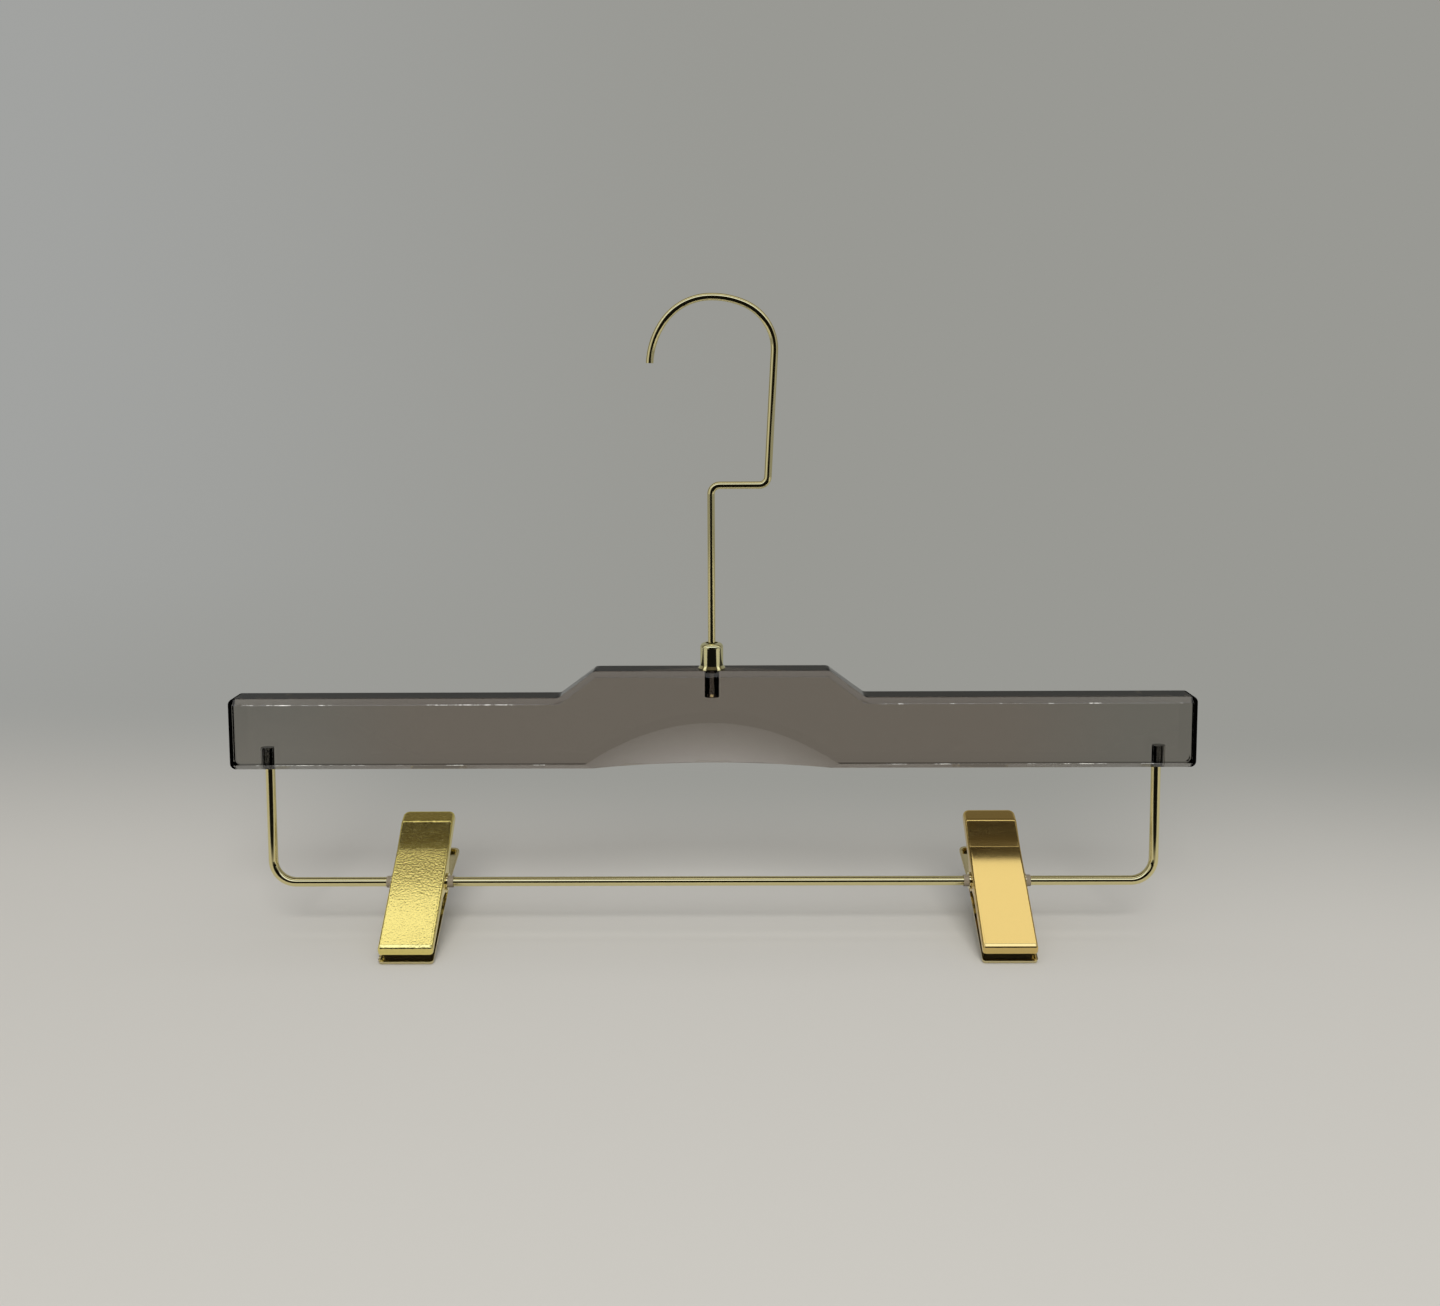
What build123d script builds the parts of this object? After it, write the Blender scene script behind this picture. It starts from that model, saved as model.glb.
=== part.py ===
"""Trouser hanger: a clear grey acrylic bar with a swivel wire hook above it and a
U-shaped trouser wire below it, on which two sprung metal clips slide and turn."""
import os
from math import asin, atan2, cos, degrees, pi, radians, sin, sqrt, tan

from build123d import *

os.makedirs("parts", exist_ok=True)

# Frame: millimetres, +Z up, +X to the right, the front faces -Y.
# The origin is the rail seat, the top of the hook's inside, where a rail carries the hanger.

# Acrylic bar
bar_length = 360.0
bar_depth = 12.0
bar_arm_height = 26.8
neck_rise = 10.1
neck_top_width = 87.0
neck_slope_width = 13.5
bar_bevel = 2.0
bar_back_bevel = 0.5
bar_corner_radius = 2.3
neck_corner_radius = 3.0

# Scoop worked out of the bar's front, open at the bottom edge and deepest there
scoop_width = 106.0
scoop_depth = 9.2
scoop_height = 17.8

# Hook wire and the turned collar that it swivels in
hook_wire_diameter = 2.8
hook_height = 137.5
hook_step_height = 68.6
hook_step_offset = 21.0
hook_lean = 3.0
hook_bend_radius = 3.2
hook_half_width = 22.9
hook_shoulder_drop = 20.0
hook_head_diameter = 4.4
hook_head_height = 1.0
hook_head_play = 0.15
collar_base_diameter = 10.0
collar_diameter = 8.6
collar_height = 9.8
collar_foot_height = 0.5
collar_base_height = 1.5
collar_dome_radius = 1.6
collar_recess_diameter = 4.6
collar_recess_depth = 0.7
stem_diameter = 5.4
stem_length = 9.0
swivel_clearance = 0.07

# Trouser wire and the two sockets that hold its legs in the bar
rod_diameter = 3.5
rod_end_inset = 13.7
rod_drop = 44.8
rod_bend_radius = 8.5
socket_diameter = 4.9
socket_length = 7.9
leg_end_gap = 0.3

# The glue line round the metal pieces that are bonded into the acrylic
bond_gap = 0.15
collar_seat_gap = 0.05

# Clips: two pressed levers, hinged on a tube round the trouser wire. Each stands at a share
# of the way from the hanger's middle to the wire's leg on its side.
clip_place_shares = {"left": -0.6657, "right": 0.6452}
clip_tilt = 55.2
jaw_half_angle = 4.7
sheet = 0.9
lever_width = 20.0
lever_face_offset = 5.8
lever_edge_radius = 1.15
front_jaw_reach = 30.0
back_jaw_reach = 32.5
nose_depth = 2.3
nose_lean = 0.9
back_lip_depth = 2.0
back_flange_depth = 1.35
front_flange_depth = 3.6
crease_reach = 10.8
ridge_reach = 21.6
front_thumb_reach = 27.4
front_thumb_angle = 7.0
front_tip_angle = 16.0
back_bend_reach = 4.0
back_thumb_reach = 24.0
back_thumb_angle = 16.0
lever_bend_radius = 4.0
thumb_flange_depth = 2.2
thumb_corner_radius = 2.4
ear_radius = 4.0
ear_flare = 8.0
ear_gap = 0.25

# Hollow pivot tube and the clear sleeve inside it that grips the trouser wire
grip_sleeve_wall = 0.35
grip_sleeve_clearance = 0.05
grip_sleeve_stickout = 1.9
pivot_tube_wall = 0.4
pivot_tube_rim_diameter = 6.3
pivot_tube_rim_thickness = 0.5
pivot_play = 0.15
pivot_clearance = 0.08

# Torsion spring round the pivot tube
spring_wire_diameter = 1.1
spring_coil_diameter = 6.9
spring_pitch = 1.7
spring_full_turns = 5
spring_turn_steps = 4
spring_extra_steps = 2
spring_near_steps = 3
spring_leg_reach = 12.5
spring_leg_gap = 0.5

# Rubber jaw pads
pad_length = 10.0
pad_side_gap = 0.15
pad_nose_gap = 0.3
pad_meeting_gap = 0.2
pad_groove_count = 3
pad_groove_width = 0.9
pad_groove_depth = 0.7

# A face counts as facing a way when its unit normal runs at least this far along that way
facing_share = 0.8

# Two places count as the same within this distance
same_place = 0.01

# Every cut runs this far past the surface it opens
overrun = 1.0

# Heights above the bar's bottom edge, turned into heights in the part's frame
bar_top_height = bar_arm_height + neck_rise
bar_bottom = -(bar_top_height + hook_height - hook_wire_diameter / 2)
bar_top = bar_bottom + bar_top_height
rod_height = bar_bottom - rod_drop
rod_span = bar_length - 2 * rod_end_inset
hook_wire_radius = hook_wire_diameter / 2
rod_radius = rod_diameter / 2


def mirrored(points):
    """The points and their mirror images in the YZ plane, as one closed outline."""
    return points + [(-x, z) for x, z in reversed(points)]


# Bar: the front view's outline, extruded through the depth
half_length = bar_length / 2
half_neck = neck_top_width / 2
arm_top = bar_bottom + bar_arm_height
bar_outline = mirrored([
    (half_neck, bar_top),
    (half_neck + neck_slope_width, arm_top),
    (half_length, arm_top),
    (half_length, bar_bottom),
])
scoop_chord = scoop_width / 2
scoop_radius = (scoop_chord**2 + scoop_depth**2) / (2 * scoop_depth)
scoop_slope = degrees(atan2(scoop_depth, scoop_height))
scoop_back = Vector(0, scoop_depth - bar_depth / 2, bar_bottom)
scoop_axis = Vector(0, -sin(radians(scoop_slope)), cos(radians(scoop_slope)))
scoop_inward = Vector(0, cos(radians(scoop_slope)), sin(radians(scoop_slope)))
scoop_center = scoop_back - scoop_inward * scoop_radius

with BuildPart() as bar:
    with BuildSketch(Plane.XZ.offset(-bar_depth / 2)):
        with BuildLine():
            Polyline(bar_outline, close=True)
        make_face()
    extrude(amount=bar_depth)
    across = bar.edges().filter_by(Axis.Y)
    end_edges = across.filter_by(lambda edge: abs(edge.center().X) > half_length - bar_bevel)
    neck_edges = across.filter_by(lambda edge: abs(edge.center().X) < half_length - bar_bevel)
    fillet(end_edges, bar_corner_radius)
    fillet(neck_edges, neck_corner_radius)
    flat_faces = bar.faces().filter_by(Axis.Y).sort_by(Axis.Y)
    front_rim, back_rim = flat_faces[0].edges(), flat_faces[-1].edges()
    chamfer(front_rim, bar_bevel)
    chamfer(back_rim, bar_back_bevel)
    # The scoop is a slice of a wide cylinder whose axis leans back with the cut
    with BuildSketch(Plane(scoop_center, z_dir=scoop_axis)):
        Circle(scoop_radius)
    extrude(amount=bar_top_height + scoop_radius, both=True, mode=Mode.SUBTRACT)
    # Hole for the collar's stem and the hook's head, from the top
    with BuildSketch(Plane.XY.offset(bar_top)):
        Circle(stem_diameter / 2 + bond_gap)
    extrude(amount=-(stem_length + hook_head_height + 2 * hook_head_play), mode=Mode.SUBTRACT)
    # Holes for the trouser wire's sockets, from the bottom
    with BuildSketch(Plane.XY.offset(bar_bottom)):
        with Locations((-rod_span / 2, 0), (rod_span / 2, 0)):
            Circle(socket_diameter / 2 + bond_gap)
    extrude(amount=socket_length + bond_gap, mode=Mode.SUBTRACT)
bar.part.label = "bar"
export_step(bar.part, "parts/bar.step")

# Collar: a domed ring that seats on the bar's top, with its stem fixed in the bar's hole
stem_bore_radius = hook_wire_radius + swivel_clearance
collar_seat = bar_top + collar_seat_gap
with BuildPart() as hook_ferrule:
    with BuildSketch(Plane.XZ) as collar_section:
        with BuildLine():
            Polyline(
                (0, collar_seat),
                (collar_base_diameter / 2, collar_seat),
                (collar_base_diameter / 2, bar_top + collar_foot_height),
                (collar_diameter / 2, bar_top + collar_base_height),
                (collar_diameter / 2, bar_top + collar_height),
                (0, bar_top + collar_height),
                close=True,
            )
        make_face()
        dome_corner = collar_section.vertices().sort_by(Axis.Y)[-2:].sort_by(Axis.X)[-1]
        fillet(dome_corner, collar_dome_radius)
    revolve(axis=Axis.Z)
    with BuildSketch(Plane.XY.offset(collar_seat)):
        Circle(stem_diameter / 2)
    extrude(amount=-(stem_length + collar_seat_gap))
    with BuildSketch(Plane.XY.offset(bar_top + collar_height)):
        Circle(collar_recess_diameter / 2)
    extrude(amount=-collar_recess_depth, mode=Mode.SUBTRACT)
    with BuildSketch(Plane.XY.offset(bar_top - stem_length)):
        Circle(stem_bore_radius)
    extrude(amount=stem_length + collar_height, mode=Mode.SUBTRACT)
hook_ferrule.part.label = "hook_ferrule"
export_step(hook_ferrule.part, "parts/hook_ferrule.step")

# Hook: a shank up from its head, a step to the right, a leaning leg and the bow
head_top = bar_top - stem_length - hook_head_play
step_z = bar_top + hook_step_height
bow_top = bar_top + hook_height
lean = Vector(sin(radians(hook_lean)), 0, cos(radians(hook_lean)))
# The leg leaves the step's second bend leaning, so that bend turns a little less than square
leg_turn = radians(90 - hook_lean)
leg_start = Vector(
    hook_step_offset + hook_bend_radius * (sin(leg_turn) - 1), 0,
    step_z + hook_bend_radius * (1 - cos(leg_turn)),
)
leg_end_z = bow_top - hook_shoulder_drop
leg_end = leg_start + lean * ((leg_end_z - leg_start.Z) / lean.Z)
# The bow's arcs meet at points given as shares of its half width: across, and down from its top
bow_shares = [(0.56, 0.115), (-0.045, 0.002), (-0.742, 0.388), (-0.97, 1.05)]
bow_points = [
    (hook_half_width * across_share, 0, bow_top - hook_half_width * drop_share)
    for across_share, drop_share in bow_shares
]

with BuildPart() as hook_wire:
    with BuildLine() as hook_path:
        shank = Line((0, 0, head_top), (0, 0, step_z - hook_bend_radius))
        first_bend = TangentArc(shank @ 1, (hook_bend_radius, 0, step_z), tangent=shank % 1)
        step_run = Line(first_bend @ 1, (hook_step_offset - hook_bend_radius, 0, step_z))
        second_bend = TangentArc(step_run @ 1, leg_start, tangent=step_run % 1)
        bow = Line(leg_start, leg_end)
        for point in bow_points:
            bow = TangentArc(bow @ 1, point, tangent=bow % 1)
    with BuildSketch(Plane.XY.offset(head_top)):
        Circle(hook_wire_radius)
    sweep(path=hook_path.wires()[0])
    with BuildSketch(Plane.XY.offset(head_top)):
        Circle(hook_head_diameter / 2)
    extrude(amount=-hook_head_height)
hook_wire.part.label = "hook_wire"
export_step(hook_wire.part, "parts/hook_wire.step")

# Trouser wire: one U of round wire with its legs' ends in the sockets
half_span = rod_span / 2
leg_end_height = bar_bottom + socket_length - leg_end_gap
with BuildPart() as trouser_wire:
    with BuildLine() as rod_path:
        FilletPolyline(
            (-half_span, 0, leg_end_height),
            (-half_span, 0, rod_height),
            (half_span, 0, rod_height),
            (half_span, 0, leg_end_height),
            radius=rod_bend_radius,
        )
    with BuildSketch(Plane((-half_span, 0, leg_end_height), z_dir=(0, 0, -1))):
        Circle(rod_radius)
    sweep(path=rod_path.wires()[0])
trouser_wire.part.label = "trouser_wire"
export_step(trouser_wire.part, "parts/trouser_wire.step")

# Sockets: thin sleeves pressed into the bar round the legs
for side, leg_x in (("left", -half_span), ("right", half_span)):
    with BuildPart() as leg_socket:
        with BuildSketch(Plane.XY.offset(bar_bottom)):
            with Locations((leg_x, 0)):
                Circle(socket_diameter / 2)
                Circle(rod_radius, mode=Mode.SUBTRACT)
        extrude(amount=socket_length)
    leg_socket.part.label = f"leg_socket_{side}"
    export_step(leg_socket.part, f"parts/leg_socket_{side}.step")

# Clip sizes that several of its pieces share. Each lever is drawn on its own plane, whose
# local x runs down the lever to the jaw, local y forward and z across. The levers' planes
# lie half the jaw's angle to either side of the clip's middle plane, where the pads meet.
face_offset = lever_face_offset
half_width = lever_width / 2
ear_outside = half_width - sheet - ear_gap
grip_sleeve_bore = rod_radius + grip_sleeve_clearance
grip_sleeve_radius = grip_sleeve_bore + grip_sleeve_wall
pivot_tube_radius = grip_sleeve_radius + pivot_tube_wall
pivot_tube_half_length = half_width + pivot_play
pivot_tube_end = pivot_tube_half_length + pivot_tube_rim_thickness
ear_hole_radius = pivot_tube_radius + pivot_clearance
flange_inside = face_offset - front_flange_depth
pocket_corner_radius = thumb_corner_radius - sheet
spring_coil_radius = spring_coil_diameter / 2
spring_wire_radius = spring_wire_diameter / 2


def thumb_rise(angle, length):
    """How far a thumb end bent by angle stands out over its length along the lever."""
    return tan(radians(angle)) * length


ridge_face = face_offset + thumb_rise(front_thumb_angle, ridge_reach - crease_reach)
front_thumb_face = ridge_face - thumb_rise(front_tip_angle, front_thumb_reach - ridge_reach)
back_thumb_length = back_thumb_reach - back_bend_reach
back_thumb_face = face_offset + thumb_rise(back_thumb_angle, back_thumb_length)


def clip_plane(place, tilt):
    """A plane through the pivot of the clip at place, tilted forward by tilt degrees."""
    down = (0, -sin(radians(tilt)), -cos(radians(tilt)))
    return Plane(origin=(place, 0, rod_height), x_dir=down, z_dir=(-1, 0, 0))


def thumb_corners(solid, plane, thumb_reach):
    """The two edges that stand at the corners of a lever block's thumb end."""
    return [
        edge for edge in solid.edges()
        if plane.to_local_coords(edge.center()).X < sheet / 2 - thumb_reach
        and abs(plane.to_local_coords(edge.center()).Z) > half_width - sheet
    ]


def pocket_corners(solid, plane, thumb_reach):
    """The two edges in the corners of a lever's hollow at its thumb end."""
    found = []
    for edge in solid.edges():
        spot = plane.to_local_coords(edge.center())
        at_end = abs(spot.X - sheet + thumb_reach) < same_place
        if at_end and abs(abs(spot.Z) - half_width + sheet) < same_place:
            found.append(edge)
    return found


def rounded_edges(solid, plane, outward, jaw_reach):
    """The outer edges of a lever's block: all round its face, and both sides of its nose."""
    out_direction = plane.y_dir * outward
    found = []
    for face in solid.faces():
        faces_out = face.normal_at().dot(out_direction) > facing_share
        faces_down = face.normal_at().dot(plane.x_dir) > facing_share
        for edge in face.edges() if faces_out or faces_down else []:
            spot = plane.to_local_coords(edge.center())
            at_side = abs(spot.Z) > half_width - thumb_corner_radius
            at_nose = faces_out and spot.X > jaw_reach - sheet
            if (at_side or at_nose) and not any(edge.is_same(other) for other in found):
                found.append(edge)
    return found


def round_bend(outline, along, out):
    """Rounds the outline's corner nearest to a place along the lever and out from it."""
    corner = outline.vertices().sort_by_distance((along, out))[0]
    fillet(corner, lever_bend_radius)


def leg_angle(face_height, leg_reach):
    """The angle at which a straight leg off the coil reaches a face at leg_reach."""
    rise = face_height - spring_wire_radius - spring_leg_gap
    distance = sqrt(rise**2 + leg_reach**2)
    return degrees(atan2(rise, leg_reach) - asin(spring_coil_radius / distance))


def spring_leg_length(angle):
    """The length of a straight leg that leaves the coil at angle and ends at its reach."""
    return (spring_leg_reach + spring_coil_radius * sin(radians(angle))) / cos(radians(angle))


def biarc(start, start_tangent, end, end_tangent):
    """The point where two equal-tangent arcs from start to end meet."""
    chord = end - start
    tangents = start_tangent + end_tangent
    spread = 2 * (1 - start_tangent.dot(end_tangent))
    lean_in = chord.dot(tangents)
    reach = (sqrt(lean_in**2 + spread * chord.dot(chord)) - lean_in) / spread
    return (start + start_tangent * reach + end - end_tangent * reach) * 0.5


# The front thumb's underside lies above the spring's upper leg, the back thumb's below
# the lower leg: both legs rest on them and push the thumbs apart.
upper_face = face_offset - sheet
lower_face = (
    face_offset - sheet / cos(radians(back_thumb_angle))
    + thumb_rise(back_thumb_angle, spring_leg_reach - back_bend_reach)
)
upper_angle = leg_angle(upper_face, spring_leg_reach) + jaw_half_angle
lower_angle = leg_angle(lower_face, spring_leg_reach) + jaw_half_angle
coil_start = -radians(90 - lower_angle)
coil_end = radians(90 - upper_angle) + 2 * pi * spring_full_turns
coil_length = spring_pitch * (coil_end - coil_start) / (2 * pi)


def coil_point(turn, plane):
    """The coil's centreline at an angle about the pivot, in the part's frame."""
    along = spring_pitch * (turn - coil_start) / (2 * pi) - coil_length / 2
    local = Vector(spring_coil_radius * cos(turn), spring_coil_radius * sin(turn), along)
    return plane.from_local_coords(local)


def coil_tangent(turn, plane):
    """The coil's direction at an angle about the pivot, in the part's frame."""
    local = Vector(-spring_coil_radius * sin(turn), spring_coil_radius * cos(turn),
                   spring_pitch / (2 * pi))
    direction = plane.from_local_coords(local) - plane.origin
    return direction.normalized()


coil_steps = spring_turn_steps * spring_full_turns + spring_extra_steps
upper_leg_length = spring_leg_length(upper_angle)
lower_leg_length = spring_leg_length(lower_angle)
back_flange_height = back_flange_depth - face_offset
back_thumb_inside = sheet / cos(radians(back_thumb_angle)) - back_thumb_face
pad_face = pad_meeting_gap / 2
pad_end = front_jaw_reach - sheet - pad_nose_gap
pad_middle = pad_end - pad_length / 2
pad_half_width = half_width - sheet - pad_side_gap
groove_pitch = pad_length / (pad_groove_count + 1)
groove_places = [
    pad_middle + groove_pitch * (number - (pad_groove_count - 1) / 2)
    for number in range(pad_groove_count)
]


def pad_outline(side_sign):
    """A pad's wedge on the middle plane: its flat meets the other pad, its back the lever."""
    def back_at(along):
        tilt = radians(jaw_half_angle)
        return (face_offset - sheet) / cos(tilt) - tan(tilt) * along
    inner = pad_end - pad_length
    return [
        (inner, side_sign * pad_face),
        (pad_end, side_sign * pad_face),
        (pad_end, side_sign * back_at(pad_end)),
        (inner, side_sign * back_at(inner)),
    ]


def least_coil_gap(points, tangents):
    """The least clear gap between the coil's turns, from points too far along to be neighbours."""
    gaps = []
    for first in range(len(points)):
        for second in range(first + spring_near_steps, len(points)):
            gaps.append((points[second] - points[first]).length - spring_wire_diameter)
    return min(gaps)


for side, place_share in clip_place_shares.items():
    place = half_span * place_share
    clip = clip_plane(place, clip_tilt)
    front_plane = clip_plane(place, clip_tilt - jaw_half_angle)
    back_plane = clip_plane(place, clip_tilt + jaw_half_angle)

    # Grip sleeve: clear tube on the trouser wire, standing out past both rims
    with BuildPart() as grip_sleeve:
        with BuildSketch(clip):
            Circle(grip_sleeve_radius)
            Circle(grip_sleeve_bore, mode=Mode.SUBTRACT)
        extrude(amount=pivot_tube_end + grip_sleeve_stickout, both=True)
    grip_sleeve.part.label = f"grip_sleeve_{side}"
    export_step(grip_sleeve.part, f"parts/grip_sleeve_{side}.step")

    # Pivot tube: the hollow hinge pin through both levers' ears, flanged at its ends
    with BuildPart() as pivot_tube:
        with BuildSketch(clip):
            Circle(pivot_tube_radius)
        extrude(amount=pivot_tube_end, both=True)
        for rim_place in (pivot_tube_half_length, -pivot_tube_end):
            with BuildSketch(clip.offset(rim_place)):
                Circle(pivot_tube_rim_diameter / 2)
            extrude(amount=pivot_tube_rim_thickness)
        with BuildSketch(clip):
            Circle(grip_sleeve_radius)
        extrude(amount=pivot_tube_end, both=True, mode=Mode.SUBTRACT)
    pivot_tube.part.label = f"pivot_tube_{side}"
    export_step(pivot_tube.part, f"parts/pivot_tube_{side}.step")

    # Front lever: a channel whose deepened sides are the outer ears
    with BuildPart() as front_lever:
        with BuildSketch(front_plane) as front_block:
            with BuildLine():
                Polyline(
                    (front_jaw_reach + nose_lean, face_offset - nose_depth),
                    (front_jaw_reach, face_offset),
                    (-crease_reach, face_offset),
                    (-ridge_reach, ridge_face),
                    (-front_thumb_reach, front_thumb_face),
                    (-front_thumb_reach, front_thumb_face - thumb_flange_depth),
                    (-ear_flare, flange_inside),
                    (-ear_radius, 0),
                    (ear_radius, 0),
                    (ear_flare, flange_inside),
                    close=True,
                )
            make_face()
            round_bend(front_block, -crease_reach, face_offset)
            round_bend(front_block, -ridge_reach, ridge_face)
            Circle(ear_radius)
        extrude(amount=half_width, both=True)
        fillet(thumb_corners(front_lever, front_plane, front_thumb_reach), thumb_corner_radius)
        fillet(rounded_edges(front_lever, front_plane, 1, front_jaw_reach), lever_edge_radius)
        with BuildSketch(front_plane):
            with BuildLine():
                Polyline(
                    (front_jaw_reach - sheet, face_offset - sheet),
                    (-crease_reach, face_offset - sheet),
                    (-ridge_reach, ridge_face - sheet),
                    (sheet - front_thumb_reach, front_thumb_face - sheet),
                    (sheet - front_thumb_reach, -ear_radius - overrun),
                    (front_jaw_reach - sheet, -ear_radius - overrun),
                    (front_jaw_reach - sheet + nose_lean, face_offset - nose_depth - overrun),
                    close=True,
                )
            make_face()
        extrude(amount=half_width - sheet, both=True, mode=Mode.SUBTRACT)
        fillet(pocket_corners(front_lever, front_plane, front_thumb_reach), pocket_corner_radius)
        with BuildSketch(front_plane):
            Circle(ear_hole_radius)
        extrude(amount=half_width + overrun, both=True, mode=Mode.SUBTRACT)
    front_lever.part.label = f"front_lever_{side}"
    export_step(front_lever.part, f"parts/front_lever_{side}.step")

    # Rubber pad that fills the front jaw, with grooves across its gripping face
    with BuildPart() as front_pad:
        with BuildSketch(clip):
            with BuildLine():
                Polyline(pad_outline(1), close=True)
            make_face()
            with Locations([(spot, pad_face) for spot in groove_places]):
                Rectangle(pad_groove_width, 2 * pad_groove_depth, mode=Mode.SUBTRACT)
        extrude(amount=pad_half_width, both=True)
    front_pad.part.label = f"front_pad_{side}"
    export_step(front_pad.part, f"parts/front_pad_{side}.step")

    # Back lever: a shallow channel with a flared thumb, and ears set inside the front ones
    with BuildPart() as back_lever:
        with BuildSketch(back_plane) as back_block:
            with BuildLine():
                Polyline(
                    (back_jaw_reach, back_lip_depth - face_offset),
                    (back_jaw_reach, -face_offset),
                    (-back_bend_reach, -face_offset),
                    (-back_thumb_reach, -back_thumb_face),
                    (-back_thumb_reach, thumb_flange_depth - back_thumb_face),
                    (-back_bend_reach, back_flange_height),
                    (ear_radius, back_flange_height),
                    (ear_flare + ear_radius, back_lip_depth - face_offset),
                    close=True,
                )
            make_face()
            round_bend(back_block, -back_bend_reach, -face_offset)
        extrude(amount=half_width, both=True)
        fillet(thumb_corners(back_lever, back_plane, back_thumb_reach), thumb_corner_radius)
        fillet(rounded_edges(back_lever, back_plane, -1, back_jaw_reach), lever_edge_radius)
        with BuildSketch(back_plane):
            with BuildLine():
                Polyline(
                    (back_jaw_reach - sheet, sheet - face_offset),
                    (-back_bend_reach, sheet - face_offset),
                    (sheet - back_thumb_reach, back_thumb_inside),
                    (sheet - back_thumb_reach, overrun),
                    (back_jaw_reach - sheet, overrun),
                    close=True,
                )
            make_face()
        extrude(amount=half_width - sheet, both=True, mode=Mode.SUBTRACT)
        fillet(pocket_corners(back_lever, back_plane, back_thumb_reach), pocket_corner_radius)
        for ear_place in (ear_outside - sheet, -ear_outside):
            with BuildSketch(back_plane.offset(ear_place)):
                with BuildLine():
                    Polyline(
                        (ear_radius, 0),
                        (ear_flare, sheet / 2 - face_offset),
                        (-back_bend_reach, sheet / 2 - face_offset),
                        (-ear_radius, 0),
                        close=True,
                    )
                make_face()
                Circle(ear_radius)
                Circle(ear_hole_radius, mode=Mode.SUBTRACT)
            extrude(amount=sheet)
    back_lever.part.label = f"back_lever_{side}"
    export_step(back_lever.part, f"parts/back_lever_{side}.step")

    # Rubber pad that fills the back jaw
    with BuildPart() as back_pad:
        with BuildSketch(clip):
            with BuildLine():
                Polyline(pad_outline(-1), close=True)
            make_face()
            with Locations([(spot, -pad_face) for spot in groove_places]):
                Rectangle(pad_groove_width, 2 * pad_groove_depth, mode=Mode.SUBTRACT)
        extrude(amount=pad_half_width, both=True)
    back_pad.part.label = f"back_pad_{side}"
    export_step(back_pad.part, f"parts/back_pad_{side}.step")

    # Torsion spring: one wire, a close coil between two straight legs
    coil_step = (coil_end - coil_start) / coil_steps
    turns = [coil_start + coil_step * step for step in range(coil_steps + 1)]
    points = [coil_point(turn, clip) for turn in turns]
    tangents = [coil_tangent(turn, clip) for turn in turns]
    with BuildPart() as torsion_spring:
        with BuildLine() as spring_path:
            Line(points[0] - tangents[0] * lower_leg_length, points[0])
            for step in range(coil_steps):
                middle = biarc(points[step], tangents[step], points[step + 1], tangents[step + 1])
                TangentArc(points[step], middle, tangent=tangents[step])
                TangentArc(points[step + 1], middle, tangent=-tangents[step + 1])
            Line(points[-1], points[-1] + tangents[-1] * upper_leg_length)
        start = points[0] - tangents[0] * lower_leg_length
        with BuildSketch(Plane(start, z_dir=tangents[0])):
            Circle(spring_wire_radius)
        sweep(path=spring_path.wires()[0])
    torsion_spring.part.label = f"torsion_spring_{side}"
    export_step(torsion_spring.part, f"parts/torsion_spring_{side}.step")
    print(side, "spring gap", round(least_coil_gap(points, tangents), 3),
          "length", round(spring_path.wires()[0].length, 2),
          "volume share", round(torsion_spring.part.volume
                                / (spring_path.wires()[0].length * pi * spring_wire_radius**2), 4))
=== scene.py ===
import math

import bpy
from mathutils import Matrix, Vector


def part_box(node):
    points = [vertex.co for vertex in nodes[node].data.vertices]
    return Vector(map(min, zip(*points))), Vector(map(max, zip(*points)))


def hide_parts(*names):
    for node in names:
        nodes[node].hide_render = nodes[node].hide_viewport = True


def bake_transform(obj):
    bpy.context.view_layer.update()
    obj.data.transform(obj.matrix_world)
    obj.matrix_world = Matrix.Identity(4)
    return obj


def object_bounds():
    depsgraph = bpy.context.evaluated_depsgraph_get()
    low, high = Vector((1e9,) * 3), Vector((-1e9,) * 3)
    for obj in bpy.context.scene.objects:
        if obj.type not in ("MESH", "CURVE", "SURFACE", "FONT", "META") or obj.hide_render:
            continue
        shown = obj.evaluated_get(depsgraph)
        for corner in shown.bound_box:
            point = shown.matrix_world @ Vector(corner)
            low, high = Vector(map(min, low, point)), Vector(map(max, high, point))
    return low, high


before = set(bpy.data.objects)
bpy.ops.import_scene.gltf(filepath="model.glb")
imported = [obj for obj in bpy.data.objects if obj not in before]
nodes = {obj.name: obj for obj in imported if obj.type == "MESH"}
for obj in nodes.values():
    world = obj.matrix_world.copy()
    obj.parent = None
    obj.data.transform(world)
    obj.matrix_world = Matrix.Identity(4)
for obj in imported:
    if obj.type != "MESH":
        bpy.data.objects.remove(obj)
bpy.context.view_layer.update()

mm = 0.001
sides = ("left", "right")
smooth = {"interpolation_type": "SMOOTHSTEP"}    # a Map Range that eases in and out
inColour = {"data_type": "RGBA"}      # a Mix of colours, whose inputs are 6 and 7 and output is 2
noiseLow, noiseHigh = 0.3, 0.7        # nearly all of a noise lies between these


# An sRGB hex colour as the linear values that the shaders take
def linear(hexColour):
    parts = [int(hexColour[i:i + 2], 16) / 255 for i in (0, 2, 4)]
    return (*(p / 12.92 if p <= 0.04045 else ((p + 0.055) / 1.055) ** 2.4 for p in parts), 1.0)


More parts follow.
